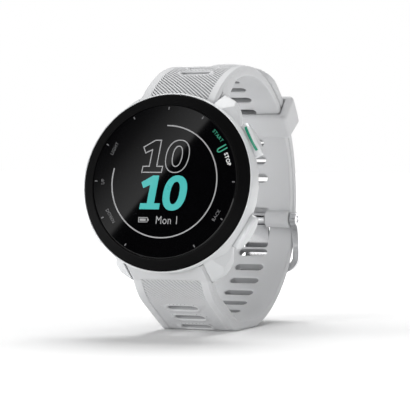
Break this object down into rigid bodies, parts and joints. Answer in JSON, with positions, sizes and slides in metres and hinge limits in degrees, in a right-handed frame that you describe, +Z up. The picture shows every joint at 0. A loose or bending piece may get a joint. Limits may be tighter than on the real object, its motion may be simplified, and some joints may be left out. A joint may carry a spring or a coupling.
{
  "type": "running watch",
  "caption": "Round sports watch with side buttons, a bezel round a dark dial and a slotted strap buckled into a closed loop it stands on",
  "frame": {"origin": "middle of the flat patch under the strap that the watch stands on", "axes": "+Z up, X across the strap with the start button on +X, the dial faces -Y and leans back"},
  "size_m": [0.0445, 0.0676, 0.0654],
  "materials": {
    "case_polymer": "satin white fibre-filled polymer",
    "button_polymer": "glossy white",
    "accent_green": "green inlay",
    "bezel_black": "satin black",
    "lens_glass": "polished, black behind",
    "display": "dark display panel",
    "guide_plastic": "milky light guide",
    "frame_plastic": "black",
    "antenna_metal": "gold plated",
    "board": "green solder mask",
    "can_steel": "thin sheet",
    "cell_foil": "foil pouch",
    "buzzer_brass": "thin disc",
    "back_steel": "satin grey",
    "window_black": "polished",
    "contact_gold": "gold plated",
    "screw_steel": "plated",
    "seal_rubber": "matt black",
    "switch_plastic": "black",
    "strap_silicone": "light grey silicone, fine ribs",
    "buckle_steel": "polished steel",
    "bar_steel": "turned steel"
  },
  "bodies": {
    "case": {"case_body": "case_polymer", "bezel_ring": "bezel_black", "lens": "lens_glass", "lens_gasket": "seal_rubber", "display_panel": "display", "backlight_guide": "guide_plastic", "inner_frame": "frame_plastic", "gps_antenna": "antenna_metal", "main_board": "board", "shield_can": "can_steel", "battery_cell": "cell_foil", "vibration_motor": "can_steel", "buzzer": "buzzer_brass", "sensor_board": "board", "back_cover": "back_steel", "back_gasket": "seal_rubber", "sensor_window": "window_black", "charge_contacts": "contact_gold", "back_screws": "screw_steel", "button_seals": "seal_rubber", "button_switches": "switch_plastic", "upper_strap": "strap_silicone", "lower_strap": "strap_silicone", "upper_bar_tube": "bar_steel", "upper_bar_tip": "bar_steel", "lower_bar_tube": "bar_steel", "lower_bar_tip": "bar_steel"},
    "button_start": {"button_start": "button_polymer", "clip_start": "can_steel", "start_accent": "accent_green"},
    "button_back": {"button_back": "button_polymer", "clip_back": "can_steel"},
    "button_light": {"button_light": "button_polymer", "clip_light": "can_steel"},
    "button_up": {"button_up": "button_polymer", "clip_up": "can_steel"},
    "button_down": {"button_down": "button_polymer", "clip_down": "can_steel"},
    "keeper": {"keeper_loop": "strap_silicone"},
    "frame": {"buckle_frame": "buckle_steel", "buckle_bar": "buckle_steel"},
    "tang": {"buckle_tang": "buckle_steel"},
    "upper_release": {"upper_bar_release": "bar_steel"},
    "lower_release": {"lower_bar_release": "bar_steel"}
  },
  "joints": [
    {"name": "start_press", "type": "slide", "parent": "case", "child": "button_start", "axis": [-0.866, -0.0885, -0.4921], "range_m": [0, 0.0007], "stiffness_N_per_m": 900, "springref_m": -0.0008},
    {"name": "back_press", "type": "slide", "parent": "case", "child": "button_back", "axis": [-0.866, 0.0885, 0.4921], "range_m": [0, 0.0007], "stiffness_N_per_m": 900, "springref_m": -0.0008},
    {"name": "light_press", "type": "slide", "parent": "case", "child": "button_light", "axis": [0.866, -0.0885, -0.4921], "range_m": [0, 0.0007], "stiffness_N_per_m": 900, "springref_m": -0.0008},
    {"name": "up_press", "type": "slide", "parent": "case", "child": "button_up", "axis": [1, 0, 0], "range_m": [0, 0.0007], "stiffness_N_per_m": 900, "springref_m": -0.0008},
    {"name": "down_press", "type": "slide", "parent": "case", "child": "button_down", "axis": [0.866, 0.0885, 0.4921], "range_m": [0, 0.0007], "stiffness_N_per_m": 900, "springref_m": -0.0008},
    {"name": "keeper_slide", "type": "hinge", "parent": "case", "child": "keeper", "pos_m": [0, 0.00184, 0.03271], "axis": [1, 0, 0], "range_deg": [-4, 4]},
    {"name": "frame_swing", "type": "hinge", "parent": "case", "child": "frame", "pos_m": [0, 0.03112, 0.02594], "axis": [1, 0, 0], "range_deg": [-0.8, 2]},
    {"name": "tang_lift", "type": "hinge", "parent": "frame", "child": "tang", "pos_m": [0, 0.03112, 0.02594], "axis": [1, 0, 0], "range_deg": [0, 5]},
    {"name": "upper_release_slide", "type": "slide", "parent": "case", "child": "upper_release", "axis": [-1, 0, 0], "range_m": [0, 0.0013], "stiffness_N_per_m": 500, "springref_m": -0.002},
    {"name": "lower_release_slide", "type": "slide", "parent": "case", "child": "lower_release", "axis": [-1, 0, 0], "range_m": [0, 0.0013], "stiffness_N_per_m": 500, "springref_m": -0.002}
  ]
}
